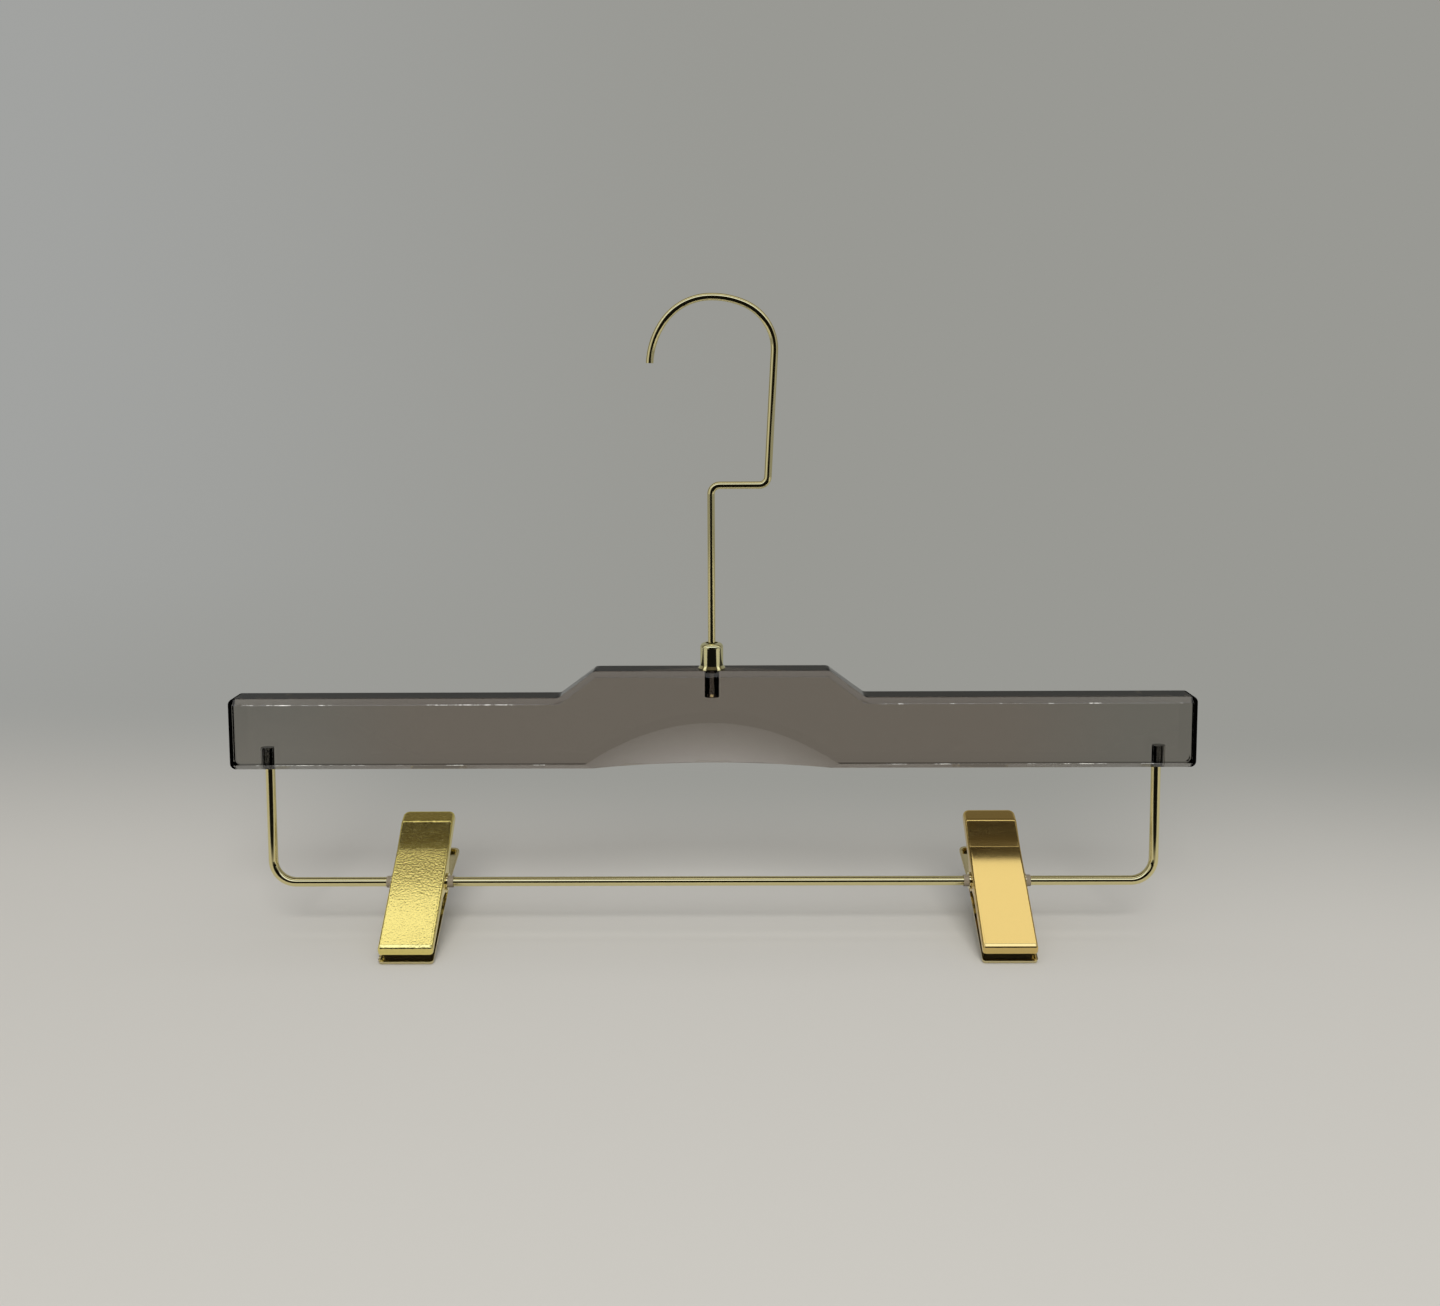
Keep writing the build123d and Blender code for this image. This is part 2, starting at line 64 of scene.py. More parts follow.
# Adds a shader node, sets its options, and sets or links its inputs. A node that is given as an
# input stands for its first output.
def addNode(tree, kind, options=None, inputs=None):
    node = tree.nodes.new("ShaderNode" + kind)
    for name, value in (options or {}).items():
        setattr(node, name, value)
    for name, value in (inputs or {}).items():
        if isinstance(value, bpy.types.Node):
            value = value.outputs[0]
        if isinstance(value, bpy.types.NodeSocket):
            tree.links.new(value, node.inputs[name])
        else:
            node.inputs[name].default_value = value
    return node


# A material with an empty node tree
def newMaterial(name):
    material = bpy.data.materials.new(name)
    material.use_nodes = True
    material.node_tree.nodes.clear()
    return material, material.node_tree


# Puts one material on CAD nodes
def dress(material, *names):
    for name in names:
        mesh = nodes[name].data
        mesh.materials.clear()
        mesh.materials.append(material)


# Rounds a node's sharp edges a little, in mm. When full, tiny faces elsewhere don't narrow it.
def roundEdges(name, width, segments, full=False):
    weld = nodes[name].modifiers.new("weld", "WELD")
    weld.merge_threshold = 0.002 * mm             # the CAD's faces come unjoined
    rounding = nodes[name].modifiers.new("rounding", "BEVEL")
    rounding.width = width * mm
    rounding.segments = segments
    rounding.limit_method = "ANGLE"
    rounding.angle_limit = math.radians(30)       # what bends less than this is already round
    rounding.harden_normals = True
    rounding.use_clamp_overlap = not full


# The bar. Lengths are in mm, and a facing is how squarely a surface looks along an axis, from
# 0 to 1. A bevel looks along two of them.
acrylic = {
    "middle": "fff7f6",         # the bar's colour is browner in the middle
    "arms": "fbfcff",           # and greyer towards its ends
    "greyFrom": 100.0, "greyTo": 165.0,      # from the middle, where it turns greyer
    "tint": "aca492",           # what the sheet lets through
    "density": 112.0,           # per metre: 12 mm lets about two fifths through
    "shadow": "b4aba6",         # what reaches the floor through it
    "ior": 1.49,
    "roughness": 0.012,
    "rounding": 0.3, "roundingSteps": 3,     # at the edges, from flame polishing
    "polishWave": 9.0,          # between the soft waves that flame polishing leaves
    "waveHeight": 0.012,
    "armFrom": 62.0, "armTo": 174.0,         # from the middle, past the scoop and short of the ends
    "facePlace": 5.4,           # from the middle plane, just short of the flat front and back
    "bevelFrom": 0.3, "bevelTo": 0.5,        # facing at which a bevel's painted shade starts and is full
    "bevelPaintedShade": 0.48,         # painted shade: how much colour the upper bevels keep
    "underPaintedShade": 0.85,         # and the painted shade under the arms
    "paintedDark": "030303",           # painted shade: the end bevels, and part of the top edge
    "paintedDarkRoughness": 0.2,
    "endPlace": 177.75,         # from the middle, where the flat front meets the end's bevel
    "endFacing": 0.97,          # facing of what is the end itself, and not a bevel
    "topFrom": 0.8, "topTo": 0.95,           # facing at which the top edge starts and is full
    "topPaintedDark": 0.55,           # how much of it is painted dark
    "paintedGlint": "f0f0ec",           # painted glints along the front's edges, pale where they are
    "paintedGlintRoughness": 0.4,
    "glintRunLength": 11.0,         # of a run of painted glints
    "glintFacing": 0.88, "glintSpread": 0.095,      # of the rounding between front and bevel
    "glintFrom": 0.5, "glintTo": 0.62,         # of the noise, where the glints start and are full
    "glintLeast": 0.04, "glintMost": 0.9,      # how much of the pale shows between them and in them
}


# Painted shade on the front's bevels: the upper ones, and those under the arms
def paintBevelShade(tree, facing, outward, s):
    onArm = addNode(tree, "Math", {"operation": "GREATER_THAN"},
                    {0: outward, 1: s["armFrom"] * mm})
    under = addNode(tree, "MapRange", None,
                    {"Value": onArm, "To Min": 1.0, "To Max": s["underPaintedShade"]})
    downward = addNode(tree, "MapRange", None, {
        "Value": facing.outputs["Z"], "From Min": -s["bevelTo"], "From Max": -s["bevelFrom"],
        "To Min": under, "To Max": 1.0})
    upward = addNode(tree, "MapRange", None, {
        "Value": facing.outputs["Z"], "From Min": s["bevelFrom"], "From Max": s["bevelTo"],
        "To Min": downward, "To Max": s["bevelPaintedShade"]})
    front = addNode(tree, "Math", {"operation": "LESS_THAN"},
                    {0: facing.outputs["Y"], 1: -s["bevelFrom"]})
    return addNode(tree, "Mix", {"data_type": "FLOAT"}, {0: front, 2: 1.0, 3: upward})


# Where the bar is painted dark, as painted shade: on its end bevels, apart from those at the back,
# and partly on its top
def findPaintedDark(tree, depth, facing, outward, s):
    atEnd = addNode(tree, "Math", {"operation": "GREATER_THAN"},
                    {0: outward, 1: s["endPlace"] * mm})
    notBack = addNode(tree, "Math", {"operation": "LESS_THAN"}, {0: depth, 1: s["facePlace"] * mm})
    sideways = addNode(tree, "Math", {"operation": "ABSOLUTE"}, {0: facing.outputs["X"]})
    bevelled = addNode(tree, "Math", {"operation": "LESS_THAN"}, {0: sideways, 1: s["endFacing"]})
    endBevel = addNode(tree, "Math", {"operation": "MULTIPLY"}, {0: atEnd, 1: bevelled})
    endShare = addNode(tree, "Math", {"operation": "MULTIPLY"}, {0: endBevel, 1: notBack})
    topPaintedDark = addNode(tree, "MapRange", None, {
        "Value": facing.outputs["Z"], "From Min": s["topFrom"], "From Max": s["topTo"],
        "To Max": s["topPaintedDark"]})
    return addNode(tree, "Math", {"operation": "MAXIMUM"}, {0: endShare, 1: topPaintedDark})


# Where the painted glints are: on the rounding between the front and its bevels, along the arms
def findPaintedGlints(tree, place, depth, facing, outward, s):
    middle, half = (s["armTo"] + s["armFrom"]) / 2, (s["armTo"] - s["armFrom"]) / 2
    onArm = addNode(tree, "Math", {"operation": "COMPARE"},
                    {0: outward, 1: middle * mm, 2: half * mm})
    rounded = addNode(tree, "Math", {"operation": "COMPARE"},
                      {0: facing.outputs["Y"], 1: -s["glintFacing"], 2: s["glintSpread"]})
    foremost = addNode(tree, "Math", {"operation": "LESS_THAN"},
                       {0: depth, 1: -s["facePlace"] * mm})
    onLine = addNode(tree, "Math", {"operation": "MULTIPLY"}, {0: rounded, 1: foremost})
    onEdge = addNode(tree, "Math", {"operation": "MULTIPLY"}, {0: onLine, 1: onArm})
    runs = addNode(tree, "TexNoise", None, {
        "Vector": place, "Scale": 1 / (s["glintRunLength"] * mm), "Detail": 4.0, "Roughness": 0.7})
    glintShare = addNode(tree, "MapRange", None, {
        "Value": runs, "From Min": s["glintFrom"], "From Max": s["glintTo"],
        "To Min": s["glintLeast"], "To Max": s["glintMost"]})
    return addNode(tree, "Math", {"operation": "MULTIPLY"}, {0: onEdge, 1: glintShare})


# Cast acrylic sheet (PMMA), smoke grey, cut and then flame polished: clear as glass, darker
# wherever light runs along the sheet, with faint waves that break up its reflections. Its bevelled
# ends and part of its top are painted near black, a painted shade for what is seen in them having
# come the bar's whole length; its bevels are painted darker, and painted glints run along its
# front.
def makeAcrylic(s):
    material, tree = newMaterial("smokeAcrylic")
    place = addNode(tree, "TexCoord").outputs["Object"]
    split = addNode(tree, "SeparateXYZ", None, {0: place})
    facing = addNode(tree, "SeparateXYZ", None, {0: addNode(tree, "TexCoord").outputs["Normal"]})
    depth = split.outputs["Y"]
    outward = addNode(tree, "Math", {"operation": "ABSOLUTE"}, {0: split.outputs["X"]})

    wave = addNode(tree, "TexNoise", None, {
        "Vector": place, "Scale": 1 / (s["polishWave"] * mm), "Detail": 1.0, "Roughness": 0.4})
    bump = addNode(tree, "Bump", None,
                   {"Height": wave, "Distance": s["waveHeight"] * mm, "Strength": 1.0})
    toEnd = addNode(tree, "MapRange", smooth, {
        "Value": outward, "From Min": s["greyFrom"] * mm, "From Max": s["greyTo"] * mm})
    smoke = addNode(tree, "Mix", inColour,
                    {0: toEnd, 6: linear(s["middle"]), 7: linear(s["arms"])})
    # The bevels' colour is darkened here: painted shade
    shaded = addNode(tree, "VectorMath", {"operation": "SCALE"},
                     {0: smoke.outputs[2], "Scale": paintBevelShade(tree, facing, outward, s)})

    polished = addNode(tree, "BsdfPrincipled", None, {
        "Base Color": shaded, "Roughness": s["roughness"], "IOR": s["ior"],
        "Transmission Weight": 1.0, "Normal": bump})
    # Near black: a painted shade on the end bevels and part of the top
    paintedDark = addNode(tree, "BsdfPrincipled", None, {
        "Base Color": linear(s["paintedDark"]), "Roughness": s["paintedDarkRoughness"], "IOR": s["ior"],
        "Specular IOR Level": 0.0, "Normal": bump})
    # Pale and rough: painted glints along the front's edges
    paintedGlint = addNode(tree, "BsdfPrincipled", None,
                   {"Base Color": linear(s["paintedGlint"]), "Roughness": s["paintedGlintRoughness"]})
    whole = addNode(tree, "MixShader", None,
                    {0: findPaintedDark(tree, depth, facing, outward, s), 1: polished, 2: paintedDark})
    withGlints = addNode(tree, "MixShader", None,
                      {0: findPaintedGlints(tree, place, depth, facing, outward, s), 1: whole, 2: paintedGlint})

    inside = addNode(tree, "VolumeAbsorption", None,
                     {"Color": linear(s["tint"]), "Density": s["density"]})
    clear = addNode(tree, "BsdfTransparent", None, {"Color": linear(s["shadow"])})
    shadowRay = addNode(tree, "LightPath").outputs["Is Shadow Ray"]
    skin = addNode(tree, "MixShader", None, {0: shadowRay, 1: withGlints, 2: clear})
    addNode(tree, "OutputMaterial", None, {"Surface": skin, "Volume": inside})
    return material


dress(makeAcrylic(acrylic), "bar")
roundEdges("bar", acrylic["rounding"], acrylic["roundingSteps"], full=True)
print("bar: acrylic")

# The hook, the trouser wire, the collar, the tubes and the sockets. Grain and depth are in mm:
# how wide and how deep the unevenness is.
plating = {
    "wire": {"colour": "e8dda6", "roughness": 0.07, "grain": 1.4, "depth": 0.0015},
    "collar": {"colour": "e8e2ae", "roughness": 0.07, "grain": 0.35, "depth": 0.002},
    "tube": {"colour": "e6dcae", "roughness": 0.14, "grain": 0.8, "depth": 0.003},
    # The sockets' dark colour is painted shade: they are only seen inside the bar, where they look
    # dark
    "socket": {"colour": "403e38", "roughness": 0.07, "grain": 0.8, "depth": 0.003},
    "stem": "4a4841",              # painted shade on the collar inside the bar, like the sockets
    "cloud": 14.0,                 # mm between brighter and duller places
    "brightest": 0.8, "dullest": 1.3,        # the roughness there, against the rest
}
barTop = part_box("bar")[1].z


# Electroplated brass over drawn or turned steel: bright, with the faint unevenness of the
# plating bath. The sockets get a dark colour instead, a painted shade for how they look inside
# the bar, and are as smooth. A low colour, also painted shade, is for what lies below the bar's
# top.
def makePlating(name, s, lowPaintedShade=None):
    material, tree = newMaterial(name)
    place = addNode(tree, "TexCoord").outputs["Object"]
    grain = addNode(tree, "TexNoise", None, {
        "Vector": place, "Scale": 1 / (s["grain"] * mm), "Detail": 3.0, "Roughness": 0.55})
    cloud = addNode(tree, "TexNoise", None, {
        "Vector": place, "Scale": 1 / (plating["cloud"] * mm), "Detail": 2.0, "Roughness": 0.5})
    gloss = addNode(tree, "MapRange", None, {
        "Value": cloud, "From Min": noiseLow, "From Max": noiseHigh,
        "To Min": s["roughness"] * plating["brightest"],
        "To Max": s["roughness"] * plating["dullest"]})
    bump = addNode(tree, "Bump", None,
                   {"Height": grain, "Distance": s["depth"] * mm, "Strength": 1.0})
    colour = linear(s["colour"])
    if lowPaintedShade:
        # Painted shade: below the bar's top the colour turns dark
        height = addNode(tree, "SeparateXYZ", None, {0: place}).outputs["Z"]
        low = addNode(tree, "Math", {"operation": "LESS_THAN"}, {0: height, 1: barTop})
        colour = addNode(tree, "Mix", inColour,
                         {0: low, 6: colour, 7: linear(lowPaintedShade)}).outputs[2]
    metal = addNode(tree, "BsdfPrincipled", None,
                    {"Base Color": colour, "Metallic": 1.0, "Roughness": gloss, "Normal": bump})
    addNode(tree, "OutputMaterial", None, {"Surface": metal})
    return material


dress(makePlating("platedDrawnWire", plating["wire"]), "hook_wire", "trouser_wire")
dress(makePlating("platedTurnedBrass", plating["collar"], plating["stem"]), "hook_ferrule")
dress(makePlating("platedTube", plating["tube"]), "pivot_tube_left", "pivot_tube_right")
dress(makePlating("socketPaintedShade", plating["socket"]), "leg_socket_left", "leg_socket_right")
print("wires, collar and tubes: plated")

# The clips' levers. Lengths are in mm, and a slope is how much steeper the sheet stands than the
# CAD has it.
clipPlate = {
    "left": {
        "colour": "fbeb92", "roughness": 0.13,
        "grain": 0.75, "depth": 0.1,         # coarser than the blasting grit, so that it shows
        "sparkle": 0.3, "pits": 0.06,        # how much the grain's depth and colour vary
        "crown": 0.1, "thumb": 0.03,         # slopes, at the front's crease and at its thumb end
    },
    "right": {
        "colour": "ebce83", "roughness": 0.13,
        "grain": 0.6, "depth": 0.003,
        "sparkle": 0.3, "pits": 0.03,
        "crown": 0.0, "thumb": 0.0,
    },
    "backColour": "ddd0a0",                  # the back levers are paler
    "nose": (-26.84, -232.41), "crease": (4.64, -206.46),      # the front's ends, in Y and Z
    "crownFrom": 0.25, "crownTo": 0.85,      # where the crown starts and ends, of the way up
    "thumbFold": 0.5,                        # past the crease, over which the thumb end bends
    "coined": 1.9, "coinEdge": 0.2,          # the strip above the nose, and its soft edge
    "coinSlope": 0.34,
    "faceFrom": 0.6, "faceTo": 0.8,          # facing at which the front starts and is full
    "patch": 7.0,                            # between stronger and weaker grain
    "patchLow": 0.35, "patchHigh": 0.65,     # of the noise, where it is weakest and strongest
    "pitLow": 0.4, "pitHigh": 0.6,           # of the grain, where its pits start and end
    "brightest": 0.88, "dullest": 1.12,      # the roughness in the grain, against the whole
    "edge": 0.3, "edgeSteps": 2,             # rounding that tumbling gives the cut edges
}


# The pressed front's slight bends: its crown, its thumb end and the coined strip above its nose.
# Each turns the way the sheet faces, from the nose upwards.
def bendFace(tree, place, normal, s):
    nose, crease = (Vector((0, *clipPlate[end])) * mm for end in ("nose", "crease"))
    up = (crease - nose).normalized()
    length = (crease - nose).length
    fromNose = addNode(tree, "VectorMath", {"operation": "SUBTRACT"}, {0: place, 1: nose})
    reach = addNode(tree, "VectorMath", {"operation": "DOT_PRODUCT"},
                    {0: fromNose, 1: up}).outputs["Value"]
    crown = addNode(tree, "MapRange", smooth, {
        "Value": reach, "From Min": clipPlate["crownFrom"] * length,
        "From Max": clipPlate["crownTo"] * length, "To Max": s["crown"]})
    thumb = addNode(tree, "MapRange", None, {
        "Value": reach, "From Min": length, "From Max": length + clipPlate["thumbFold"] * mm,
        "To Max": s["thumb"] - s["crown"]})
    coin = addNode(tree, "MapRange", None, {
        "Value": reach, "From Min": clipPlate["coined"] * mm,
        "From Max": (clipPlate["coined"] - clipPlate["coinEdge"]) * mm,
        "To Max": clipPlate["coinSlope"]})
    bent = addNode(tree, "Math", {"operation": "ADD"}, {0: crown, 1: thumb})
    steeper = addNode(tree, "Math", {"operation": "ADD"}, {0: bent, 1: coin})
    # Only the sheet's front turns, and not its edges and its back
    outward = addNode(tree, "VectorMath", {"operation": "DOT_PRODUCT"}, {
        0: addNode(tree, "TexCoord").outputs["Normal"], 1: Vector((0, -up.z, up.y))})
    onFace = addNode(tree, "MapRange", None, {
        "Value": outward.outputs["Value"], "From Min": clipPlate["faceFrom"],
        "From Max": clipPlate["faceTo"], "To Max": 1.0})
    amount = addNode(tree, "Math", {"operation": "MULTIPLY"}, {0: steeper, 1: onFace})
    downward = addNode(tree, "VectorTransform", {
        "vector_type": "VECTOR", "convert_from": "OBJECT", "convert_to": "WORLD"}, {0: -up})
    leaning = addNode(tree, "VectorMath", {"operation": "MULTIPLY_ADD"},
                      {0: downward, 1: amount, 2: normal})
    return addNode(tree, "VectorMath", {"operation": "NORMALIZE"}, {0: leaning}).outputs[0]


# Pressed steel sheet, blasted fine and then gold plated: a satin sheen with a fine sparkle
def makeSatinPlate(name, s, colour, bent=False):
    material, tree = newMaterial(name)
    place = addNode(tree, "TexCoord").outputs["Object"]
    grain = addNode(tree, "TexNoise", None, {
        "Vector": place, "Scale": 1 / (s["grain"] * mm), "Detail": 2.0, "Roughness": 0.6})
    patch = addNode(tree, "TexNoise", None, {
        "Vector": place, "Scale": 1 / (clipPlate["patch"] * mm), "Detail": 2.0, "Roughness": 0.5})
    strength = addNode(tree, "MapRange", None, {
        "Value": patch, "From Min": clipPlate["patchLow"], "From Max": clipPlate["patchHigh"],
        "To Min": 1.0 - s["sparkle"], "To Max": 1.0})
    facing = addNode(tree, "NewGeometry").outputs["Normal"]
    if bent:
        facing = bendFace(tree, place, facing, s)
    bump = addNode(tree, "Bump", None, {
        "Height": grain, "Distance": s["depth"] * mm, "Strength": strength, "Normal": facing})
    gloss = addNode(tree, "MapRange", None, {
        "Value": grain, "From Min": noiseLow, "From Max": noiseHigh,
        "To Min": s["roughness"] * clipPlate["brightest"],
        "To Max": s["roughness"] * clipPlate["dullest"]})
    pitted = addNode(tree, "MapRange", None, {
        "Value": grain, "From Min": clipPlate["pitLow"], "From Max": clipPlate["pitHigh"],
        "To Min": 1.0 - s["pits"], "To Max": 1.0})
    tone = addNode(tree, "VectorMath", {"operation": "SCALE"},
                   {0: linear(colour)[:3], "Scale": pitted})
    metal = addNode(tree, "BsdfPrincipled", None,
                    {"Base Color": tone, "Metallic": 1.0, "Roughness": gloss, "Normal": bump})
    addNode(tree, "OutputMaterial", None, {"Surface": metal})
    return material


for side in sides:
    s = clipPlate[side]
    front, back = "front_lever_" + side, "back_lever_" + side
    dress(makeSatinPlate("satinPlate_" + front, s, s["colour"], bent=True), front)
    dress(makeSatinPlate("satinPlate_" + back, s, clipPlate["backColour"]), back)
    roundEdges(front, clipPlate["edge"], clipPlate["edgeSteps"])
    roundEdges(back, clipPlate["edge"], clipPlate["edgeSteps"])
print("clips: satin plate, edges rounded")

# The springs. Lengths are in mm.
springWire = {
    "colour": "8d8a84", "roughness": 0.32,
    "stain": 2.2,                            # between duller and brighter places of the temper
    "brightest": 0.75, "dullest": 1.35,      # the roughness there, against the whole
    "gauge": 1.1,                            # the wire's diameter
}


# Oil-tempered spring steel, drawn: grey, half bright
def makeSpringSteel(s):
    material, tree = newMaterial("springSteel")
    place = addNode(tree, "TexCoord").outputs["Object"]
    stain = addNode(tree, "TexNoise", None,
                    {"Vector": place, "Scale": 1 / (s["stain"] * mm), "Detail": 4.0})
    gloss = addNode(tree, "MapRange", None, {
        "Value": stain, "From Min": noiseLow, "From Max": noiseHigh,
        "To Min": s["roughness"] * s["brightest"], "To Max": s["roughness"] * s["dullest"]})
    metal = addNode(tree, "BsdfPrincipled", None,
                    {"Base Color": linear(s["colour"]), "Metallic": 1.0, "Roughness": gloss})
    addNode(tree, "OutputMaterial", None, {"Surface": metal})
    return material


# Each spring is shown by a copy of its mesh, and the CAD node is hidden. The real coil winds up
# as its jaw opens: the leg at the coil's right end stays with the back lever, and the one at its
# left end goes with the front lever.
def makeWoundSpring(side):
    name = "torsion_spring_" + side
    spring = bpy.data.objects.new("wound_spring_" + side, nodes[name].data.copy())
    bpy.context.scene.collection.objects.link(spring)
    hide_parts(name)
    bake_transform(spring)


dress(makeSpringSteel(springWire), "torsion_spring_left", "torsion_spring_right")
for side in sides:
    makeWoundSpring(side)
print("springs: steel, wound between the levers")

# The jaw pads. Grain and depth are in mm.
rubber = {"colour": "3a3128", "roughness": 0.62, "grain": 0.25, "depth": 0.01, "strength": 0.8}


# Moulded black rubber: matt, with the fine grain of its mould
def makeRubber(s):
    material, tree = newMaterial("mouldedRubber")
    place = addNode(tree, "TexCoord").outputs["Object"]
    grain = addNode(tree, "TexNoise", None,
                    {"Vector": place, "Scale": 1 / (s["grain"] * mm), "Detail": 3.0})
    bump = addNode(tree, "Bump", None,
                   {"Height": grain, "Distance": s["depth"] * mm, "Strength": s["strength"]})
    skin = addNode(tree, "BsdfPrincipled", None,
                   {"Base Color": linear(s["colour"]), "Roughness": s["roughness"], "Normal": bump})
    addNode(tree, "OutputMaterial", None, {"Surface": skin})
    return material


dress(makeRubber(rubber), "front_pad_left", "front_pad_right", "back_pad_left", "back_pad_right")
print("pads: rubber")

# The clips' sleeves, on the trouser wire
vinyl = {
    "colour": "a09480", "roughness": 0.35, "ior": 1.4,
    "clearness": 0.4,                        # how much light goes through
    "cloud": 1.5,                            # mm between duller and brighter places
    "brightest": 0.85, "dullest": 1.2,       # the roughness there, against the whole
}


# Extruded soft vinyl (PVC) tube: milky, letting some light through, with a dull skin
def makeVinyl(s):
    material, tree = newMaterial("milkyVinyl")
    place = addNode(tree, "TexCoord").outputs["Object"]
    cloud = addNode(tree, "TexNoise", None,
                    {"Vector": place, "Scale": 1 / (s["cloud"] * mm), "Detail": 2.0})
    gloss = addNode(tree, "MapRange", None, {
        "Value": cloud, "From Min": noiseLow, "From Max": noiseHigh,
        "To Min": s["roughness"] * s["brightest"], "To Max": s["roughness"] * s["dullest"]})
    skin = addNode(tree, "BsdfPrincipled", None, {
        "Base Color": linear(s["colour"]), "Roughness": gloss, "IOR": s["ior"],
        "Transmission Weight": s["clearness"]})
    addNode(tree, "OutputMaterial", None, {"Surface": skin})
    return material


dress(makeVinyl(vinyl), "grip_sleeve_left", "grip_sleeve_right")
print("sleeves: vinyl")

# Where the photograph was taken from
camera = {
    "place": (5.94, -484.7, -27.28),                  # mm
    "pitch": -5.063, "roll": -0.241, "yaw": 0.309,    # degrees
    "lens": 33.0, "sensor": 36.0,                     # mm
    "shift": -0.1114,
}
cameraData = bpy.data.cameras.new("photoCamera")
cameraData.lens = camera["lens"]
cameraData.sensor_width = camera["sensor"]
cameraData.shift_y = camera["shift"]
cameraObject = bpy.data.objects.new("photoCamera", cameraData)
bpy.context.scene.collection.objects.link(cameraObject)
aim = (Matrix.Rotation(math.radians(camera["yaw"]), 3, "Z")
       @ Matrix.Rotation(math.radians(90 + camera["pitch"]), 3, "X")
       @ Matrix.Rotation(math.radians(camera["roll"]), 3, "Z"))
cameraObject.rotation_euler = aim.to_euler()
cameraObject.location = [value * mm for value in camera["place"]]
bpy.context.scene.camera = cameraObject
print("camera: placed")

# The floor and the wall, one bent sheet of card. Lengths are in metres from under the hanger.
stage = {
    # The wall's left tone is lighter: painted light, where more light falls on that side
    "floor": "cdcbc6", "wallLitLeft": "a2a3a1", "wall": "999994",
    "wallTurns": (-1.0, 0.1),                # across, where its left tone turns into the other
    "halfWidth": 3.0, "wallPlace": 1.2, "wallHeight": 1.0,
    "bend": 0.3, "bendSteps": 8,             # the radius between floor and wall, and its facets
    "gap": 0.00002,                          # under the lowest piece
    # Behind the hanger's width the wall's darker tone comes in sooner than at the sides: a painted
    # shadow
    "sweepStart": 0.012,                     # behind the hanger, where the floor's tone ends
    "sweepEnd": 0.21, "sweepEndAtSides": 0.33,       # and where the wall's is full
    "sweepSides": (0.14, 0.28),              # to a side, where the one end turns into the other
    "sweepSlant": 0.13,                      # how much sooner it comes towards the right
    "fadeStart": 0.7, "fadeEnd": 1.6,        # all round, where the one tone turns into the other
    # The room, as the metal sees it past the card
    "cardFront": 0.065, "frontEdge": 0.04,   # before the hanger, where it ends, and how softly
    "frontSides": (0.24, 0.17),              # to a side, where the dim front ends and starts
    "frontSpread": 0.5,                      # how much wider it gets with the way forward
    "cardSides": (0.9, 1.3),                 # to a side, where it starts and has ended
    "frontTone": 0.006, "sideTone": 0.3,     # how bright the room is before it and beside it
}
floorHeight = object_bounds()[0].z - stage["gap"]


# The wall's tone, from the lighter left one, painted light, to the other as x goes over a range
def wallTone(tree, x, turns):
    across = addNode(tree, "MapRange", smooth,
                     {"Value": x, "From Min": turns[0], "From Max": turns[1]})
    tone = addNode(tree, "Mix", inColour,
                   {0: across, 6: linear(stage["wallLitLeft"]), 7: linear(stage["wall"])})
    return tone.outputs[2]


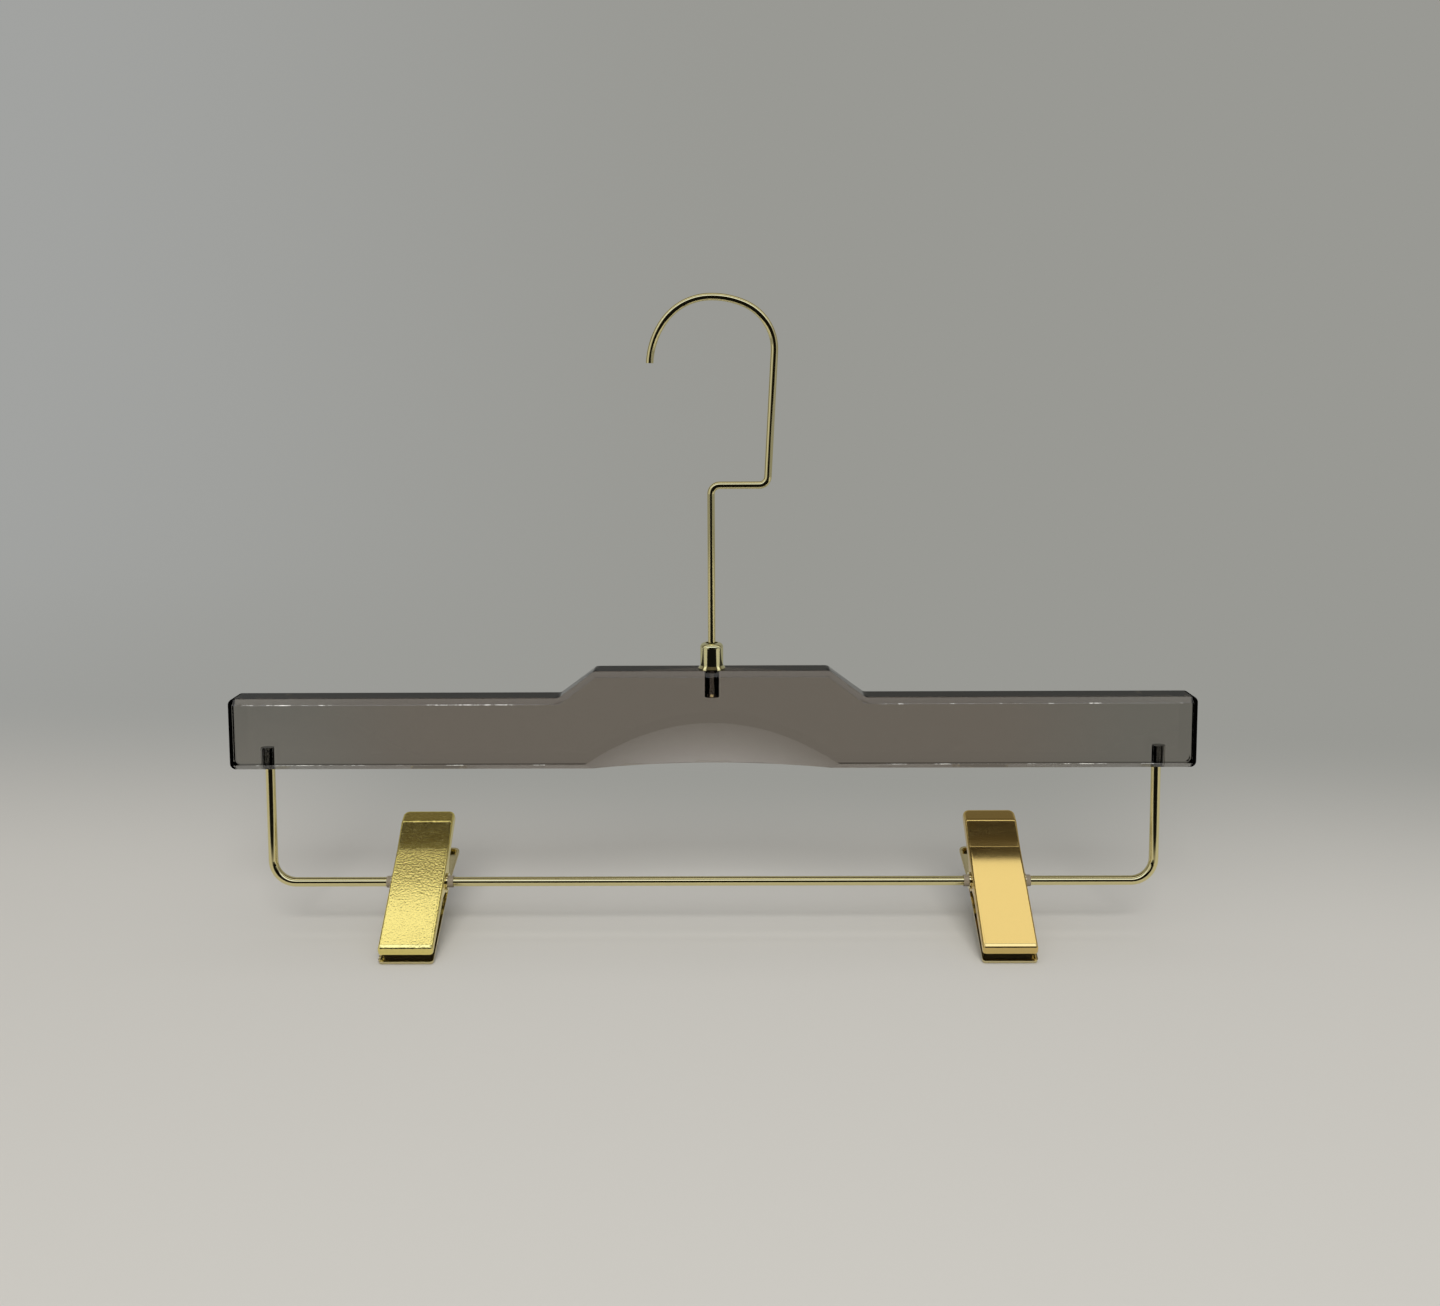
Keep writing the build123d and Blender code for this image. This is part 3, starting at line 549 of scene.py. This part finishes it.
# Card bent into a sweep: the floor's tone near the hanger, the wall's farther back. What shines
# shows a dim room before the card's front edge and beyond its sides.
def makeCard(s):
    material, tree = newMaterial("card")
    place = addNode(tree, "TexCoord").outputs["Object"]
    split = addNode(tree, "SeparateXYZ", None, {0: place})
    outward = addNode(tree, "Math", {"operation": "ABSOLUTE"}, {0: split.outputs["X"]})

    # The card's own tones
    slant = addNode(tree, "Math", {"operation": "MULTIPLY_ADD"},
                    {0: split.outputs["X"], 1: s["sweepSlant"], 2: split.outputs["Y"]})
    # The wall's tone reaches in sooner in the middle: a painted shadow of the hanger
    sweepEnd = addNode(tree, "MapRange", smooth, {
        "Value": outward, "From Min": s["sweepSides"][0], "From Max": s["sweepSides"][1],
        "To Min": s["sweepEnd"], "To Max": s["sweepEndAtSides"]})
    back = addNode(tree, "MapRange", smooth,
                   {"Value": slant, "From Min": s["sweepStart"], "From Max": sweepEnd})
    radius = addNode(tree, "VectorMath", {"operation": "LENGTH"}, {0: place})
    far = addNode(tree, "MapRange", smooth, {
        "Value": radius.outputs["Value"], "From Min": s["fadeStart"], "From Max": s["fadeEnd"]})
    away = addNode(tree, "Math", {"operation": "MAXIMUM"}, {0: back, 1: far})
    matt = addNode(tree, "BsdfDiffuse", None, {"Color": linear(s["floor"])})
    wall = addNode(tree, "Emission", None,
                   {"Color": wallTone(tree, split.outputs["X"], s["wallTurns"]), "Strength": 1.0})
    swept = addNode(tree, "MixShader", None, {0: away, 1: matt, 2: wall})

    # The room past its front edge and its sides, for what shines
    path = addNode(tree, "LightPath")
    shiny = addNode(tree, "Math", {"operation": "SUBTRACT", "use_clamp": True},
                    {0: path.outputs["Is Glossy Ray"], 1: path.outputs["Is Transmission Ray"]})
    before = addNode(tree, "MapRange", smooth, {
        "Value": split.outputs["Y"], "From Min": -s["cardFront"],
        "From Max": -(s["cardFront"] + s["frontEdge"])})
    spread = addNode(tree, "Math", {"operation": "MULTIPLY_ADD"},
                     {0: split.outputs["Y"], 1: s["frontSpread"], 2: outward})
    between = addNode(tree, "MapRange", smooth, {
        "Value": spread, "From Min": s["frontSides"][0], "From Max": s["frontSides"][1]})
    openFront = addNode(tree, "Math", {"operation": "MULTIPLY"}, {0: before, 1: between})
    beyond = addNode(tree, "MapRange", smooth, {
        "Value": outward, "From Min": s["cardSides"][0], "From Max": s["cardSides"][1]})
    ended = addNode(tree, "Math", {"operation": "MAXIMUM"}, {0: openFront, 1: beyond})
    dimmed = addNode(tree, "Math", {"operation": "MULTIPLY"}, {0: shiny, 1: ended})
    tone = addNode(tree, "MapRange", None,
                   {"Value": beyond, "To Min": s["frontTone"], "To Max": s["sideTone"]})
    room = addNode(tree, "Emission", None, {"Color": (1, 1, 1, 1), "Strength": tone})

    shown = addNode(tree, "MixShader", None, {0: dimmed, 1: swept, 2: room})
    addNode(tree, "OutputMaterial", None, {"Surface": shown})
    return material


bend, steps, wallPlace = stage["bend"], stage["bendSteps"], stage["wallPlace"]
profile = [(-stage["halfWidth"], 0)]
for step in range(steps + 1):
    turn = math.radians(90 * step / steps)
    profile.append((wallPlace - bend + bend * math.sin(turn), bend - bend * math.cos(turn)))
profile.append((wallPlace, stage["wallHeight"]))
corners = [(x, y, z) for y, z in profile for x in (-stage["halfWidth"], stage["halfWidth"])]
floorMesh = bpy.data.meshes.new("sweep")
facets = [(i, i + 1, i + 3, i + 2) for i in range(0, len(corners) - 2, 2)]
floorMesh.from_pydata(corners, [], facets)
floor = bpy.data.objects.new("sweep", floorMesh)
floor.location.z = floorHeight
floorMesh.materials.append(makeCard(stage))
bpy.context.scene.collection.objects.link(floor)
print("floor and wall: card")

# The studio round the hanger. A direction's height and side are its Z and X, from -1 to 1.
studio = {
    # Brightness at each angle, in degrees: over the hanger from the front to the back, with the
    # ceiling's light strip, and round it from the open front past the side walls to the back
    "arch": [(0, 0.008), (19, 0.02), (31, 0.25), (36, 1.5), (48, 1.5), (53, 0.2), (58, 0.1),
             (69, 0.08), (72, 1.05), (90, 1.05), (94, 0.12), (107, 0.1), (112, 0.15), (118, 0.2),
             (128, 0.33), (145, 0.36), (180, 0.31)],
    "ringLeft": [(0, 0.006), (23, 0.006), (38, 0.5), (70, 0.65), (88, 0.4), (100, 0.14),
                 (134, 0.12), (148, 0.31), (180, 0.31)],
    "ringRight": [(0, 0.006), (48, 0.006), (62, 0.38), (92, 0.42), (106, 0.12), (134, 0.12),
                  (148, 0.31), (180, 0.31)],
    "archHeights": (0.3, 0.55),       # where the rings turn into the arch
    "ringSides": (-0.1, 0.1),         # where the left ring turns into the right one
    "wallTurns": (-0.3, 0.03),        # where the wall's left tone turns into the other
    "even": 0.2,                      # the light on what is matt
    "window": 1.2,                    # brighter than this is the window
    "windowTint": (0.88, 0.96, 1.2),
    "lit": 0.3,                       # from this brightness on the room is lit, and less warm
    "litTint": (1.0, 0.99, 0.95), "dimTint": (1.0, 0.77, 0.45),
}


# The room's tone at a brightness: its dim corners are warm and its window is cool
def roomTone(brightness):
    tint = studio["windowTint"]
    if brightness <= studio["window"]:
        share = min(1.0, brightness / studio["lit"])
        tint = [dim + share * (lit - dim) for dim, lit in zip(studio["dimTint"], studio["litTint"])]
    return [brightness * part for part in tint] + [1.0]


# The room's tone looked up by an angle, in radians, from a list of (degrees, brightness)
def lookUp(tree, angle, points):
    share = addNode(tree, "MapRange", None, {"Value": angle, "From Min": 0.0, "From Max": math.pi})
    ramp = addNode(tree, "ValToRGB", None, {0: share})
    stops = ramp.color_ramp.elements
    stops[1].position = 1.0
    for degrees, brightness in points[1:-1]:
        stops.new(degrees / 180).color = roomTone(brightness)
    stops[0].color, stops[-1].color = roomTone(points[0][1]), roomTone(points[-1][1])
    return ramp


# The studio as the metal sees it. The camera, and what is seen through the bar, get a plain wall,
# and what is matt gets an even light.
def makeWorld(s):
    world = bpy.data.worlds.new("studio")
    world.use_nodes = True
    tree = world.node_tree
    tree.nodes.clear()
    direction = addNode(tree, "TexCoord").outputs["Generated"]
    split = addNode(tree, "SeparateXYZ", None, {0: direction})
    forward = addNode(tree, "Math", {"operation": "MULTIPLY"}, {0: split.outputs["Y"], 1: -1.0})
    outward = addNode(tree, "Math", {"operation": "ABSOLUTE"}, {0: split.outputs["X"]})
    over = addNode(tree, "Math", {"operation": "ARCTAN2"}, {0: split.outputs["Z"], 1: forward})
    around = addNode(tree, "Math", {"operation": "ARCTAN2"}, {0: outward, 1: forward})
    high = addNode(tree, "MapRange", smooth, {
        "Value": split.outputs["Z"],
        "From Min": s["archHeights"][0], "From Max": s["archHeights"][1]})
    toRight = addNode(tree, "MapRange", smooth, {
        "Value": split.outputs["X"], "From Min": s["ringSides"][0], "From Max": s["ringSides"][1]})
    left = lookUp(tree, around, s["ringLeft"])
    right = lookUp(tree, around, s["ringRight"])
    ring = addNode(tree, "Mix", inColour, {0: toRight, 6: left, 7: right})
    room = addNode(tree, "Mix", inColour,
                   {0: high, 6: ring.outputs[2], 7: lookUp(tree, over, s["arch"])})
    path = addNode(tree, "LightPath")
    evened = addNode(tree, "Mix", inColour, {
        0: path.outputs["Is Diffuse Ray"], 6: room.outputs[2], 7: (s["even"],) * 3 + (1.0,)})
    plain = addNode(tree, "Math", {"operation": "MAXIMUM"},
                    {0: path.outputs["Is Camera Ray"], 1: path.outputs["Is Transmission Ray"]})
    shown = addNode(tree, "Mix", inColour, {
        0: plain, 6: evened.outputs[2], 7: wallTone(tree, split.outputs["X"], s["wallTurns"])})
    background = addNode(tree, "Background", None, {"Color": shown.outputs[2], "Strength": 1.0})
    addNode(tree, "OutputWorld", None, {"Surface": background})
    return world


bpy.context.scene.world = makeWorld(studio)

# Soft boxes, in metres from the floor under the hanger's middle. They light what is matt; what
# shines shows the studio itself.
lampColour = "fffdf9"
lamps = {
    "frontBox": {"place": (0.08, -1.8, 1.32), "size": (1.0, 1.1), "level": 11.2},
    "topBox": {"place": (0, -0.3, 1.3), "size": (1.6, 1.6), "level": 0.7},
}
for name, s in lamps.items():
    data = bpy.data.lights.new(name, "AREA")
    data.shape = "RECTANGLE"
    data.size, data.size_y = s["size"]
    data.energy = s["level"] * math.pi * data.size * data.size_y    # watts, for this brightness
    data.color = linear(lampColour)[:3]
    lamp = bpy.data.objects.new(name, data)
    lamp.location = Vector((0, 0, floorHeight)) + Vector(s["place"])
    lamp.rotation_euler = (-Vector(s["place"])).to_track_quat("-Z", "Y").to_euler()
    lamp.visible_glossy = False
    lamp.visible_transmission = False
    bpy.context.scene.collection.objects.link(lamp)
print("studio: world and", len(lamps), "lamps")

bpy.context.scene.view_settings.view_transform = "Standard"
